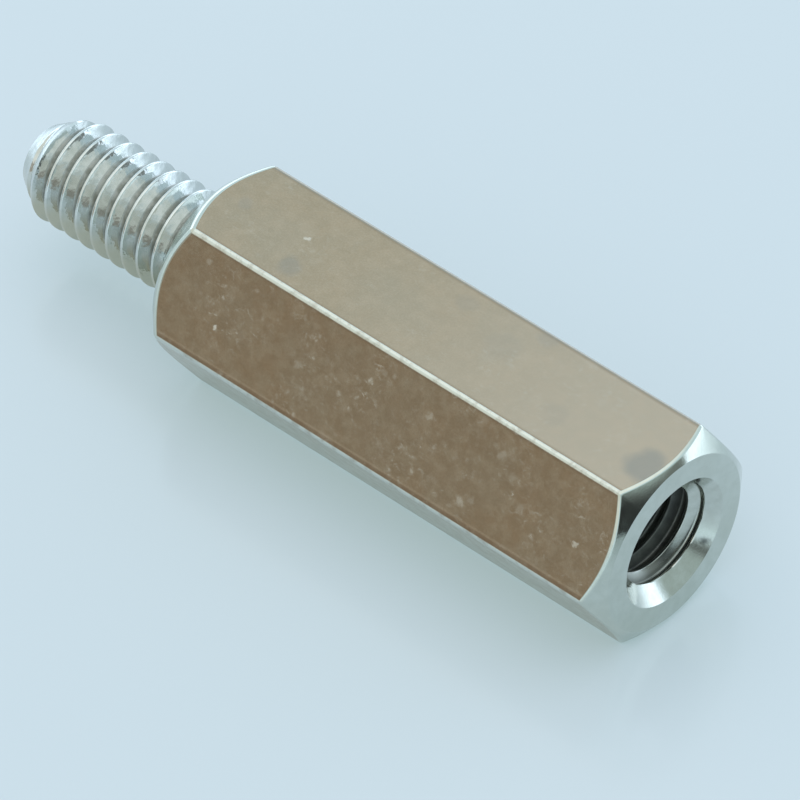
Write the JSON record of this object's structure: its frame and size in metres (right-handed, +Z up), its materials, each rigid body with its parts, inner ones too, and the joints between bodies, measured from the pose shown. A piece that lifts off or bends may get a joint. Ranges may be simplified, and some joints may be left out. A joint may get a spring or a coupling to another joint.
{
  "type": "hex standoff",
  "caption": "Male-female hex standoff: hexagonal spacer with turned, chamfered ends, a threaded stud at one end and a countersunk tapped blind hole at the other, bright nickel finish.",
  "frame": {"origin": "under the middle of the whole length, on the flat that the standoff lies on", "axes": "+X along the bar's axis from the stud's tip towards the tapped hole's mouth, +Z up from the flat that it lies on"},
  "size_m": [0.0278, 0.008, 0.007],
  "materials": {
    "nickel": "bright nickel plate on brass, slightly yellowed and mottled on the flats"
  },
  "bodies": {
    "root": {"hex_standoff": "nickel"}
  },
  "joints": []
}
